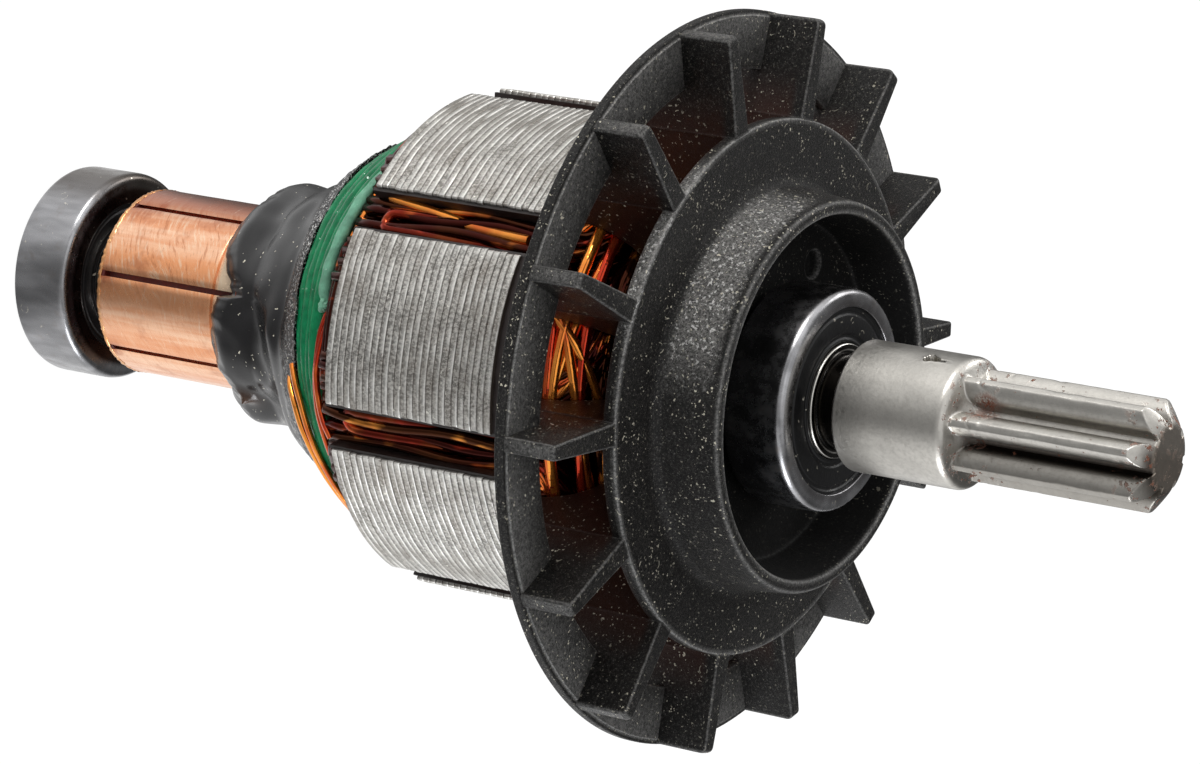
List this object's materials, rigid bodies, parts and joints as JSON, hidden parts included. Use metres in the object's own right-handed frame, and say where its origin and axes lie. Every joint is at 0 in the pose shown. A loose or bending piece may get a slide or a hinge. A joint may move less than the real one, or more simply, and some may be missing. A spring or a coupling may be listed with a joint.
{
  "type": "motor armature",
  "caption": "Wound armature of a hand power tool's motor: commutator, laminated core, cooling fan and toothed pinion on a shaft that turns in ball bearings.",
  "frame": {"origin": "centre of the rear bearing's rear face, on which the part stands", "axes": "+Z along the shaft from the rear bearing to the pinion; -Y faces the middle of the core tooth that the picture shows best"},
  "size_m": [0.063, 0.063, 0.1135],
  "materials": {
    "shaft_steel": "ground",
    "pinion_steel": "satin, with rust specks",
    "bearing_steel": "ground and polished",
    "ball_steel": "polished",
    "cage_brass": "pressed",
    "seal_rubber": "moulded",
    "bar_copper": "turned, with fine turning lines",
    "hub_moulding": "moulded",
    "core_steel": "stacked sheet edges",
    "insulation": "fibre sheet and tube",
    "enamelled_wire": "glossy enamel over copper",
    "sleeve_black": "uneven semi-gloss",
    "lacing_green": "glossy varnish",
    "fan_plastic": "glass-filled, with fine pale specks"
  },
  "bodies": {
    "armature": {"shaft": "shaft_steel", "pinion": "pinion_steel", "rear_inner_ring": "bearing_steel", "front_inner_ring": "bearing_steel", "commutator_hub": "hub_moulding", "commutator_bar_1": "bar_copper", "commutator_bar_2": "bar_copper", "commutator_bar_3": "bar_copper", "commutator_bar_4": "bar_copper", "commutator_bar_5": "bar_copper", "commutator_bar_6": "bar_copper", "commutator_bar_7": "bar_copper", "core": "core_steel", "rear_end_disc": "insulation", "front_end_disc": "insulation", "rear_shaft_tube": "insulation", "front_shaft_tube": "insulation", "slot_liner_1": "insulation", "slot_liner_2": "insulation", "slot_liner_3": "insulation", "slot_liner_4": "insulation", "slot_liner_5": "insulation", "slot_liner_6": "insulation", "slot_liner_7": "insulation", "coil_1": "enamelled_wire", "coil_2": "enamelled_wire", "coil_3": "enamelled_wire", "coil_4": "enamelled_wire", "coil_5": "enamelled_wire", "coil_6": "enamelled_wire", "coil_7": "enamelled_wire", "coil_leads": "enamelled_wire", "insulating_sleeve": "sleeve_black", "green_lacing": "lacing_green", "fan": "fan_plastic"},
    "rear_race": {"rear_outer_ring": "bearing_steel", "rear_seal_out": "seal_rubber", "rear_seal_in": "seal_rubber"},
    "rear_ball_set": {"rear_balls": "ball_steel", "rear_cage": "cage_brass"},
    "front_race": {"front_outer_ring": "bearing_steel", "front_seal_out": "seal_rubber", "front_seal_in": "seal_rubber"},
    "front_ball_set": {"front_balls": "ball_steel", "front_cage": "cage_brass"}
  },
  "joints": [
    {"name": "rear_race_spin", "type": "hinge", "parent": "armature", "child": "rear_race", "pos_m": [0, 0, 0.003], "axis": [0, 0, 1], "continuous": true},
    {"name": "rear_cage_spin", "type": "hinge", "parent": "armature", "child": "rear_ball_set", "pos_m": [0, 0, 0.003], "axis": [0, 0, 1], "continuous": true},
    {"name": "front_race_spin", "type": "hinge", "parent": "armature", "child": "front_race", "pos_m": [0, 0, 0.0797], "axis": [0, 0, 1], "continuous": true},
    {"name": "front_cage_spin", "type": "hinge", "parent": "armature", "child": "front_ball_set", "pos_m": [0, 0, 0.0797], "axis": [0, 0, 1], "continuous": true}
  ],
  "couplings": [
    {"joint": "rear_cage_spin", "follows": "rear_race_spin", "ratio": 0.63385},
    {"joint": "front_cage_spin", "follows": "front_race_spin", "ratio": 0.61815}
  ]
}
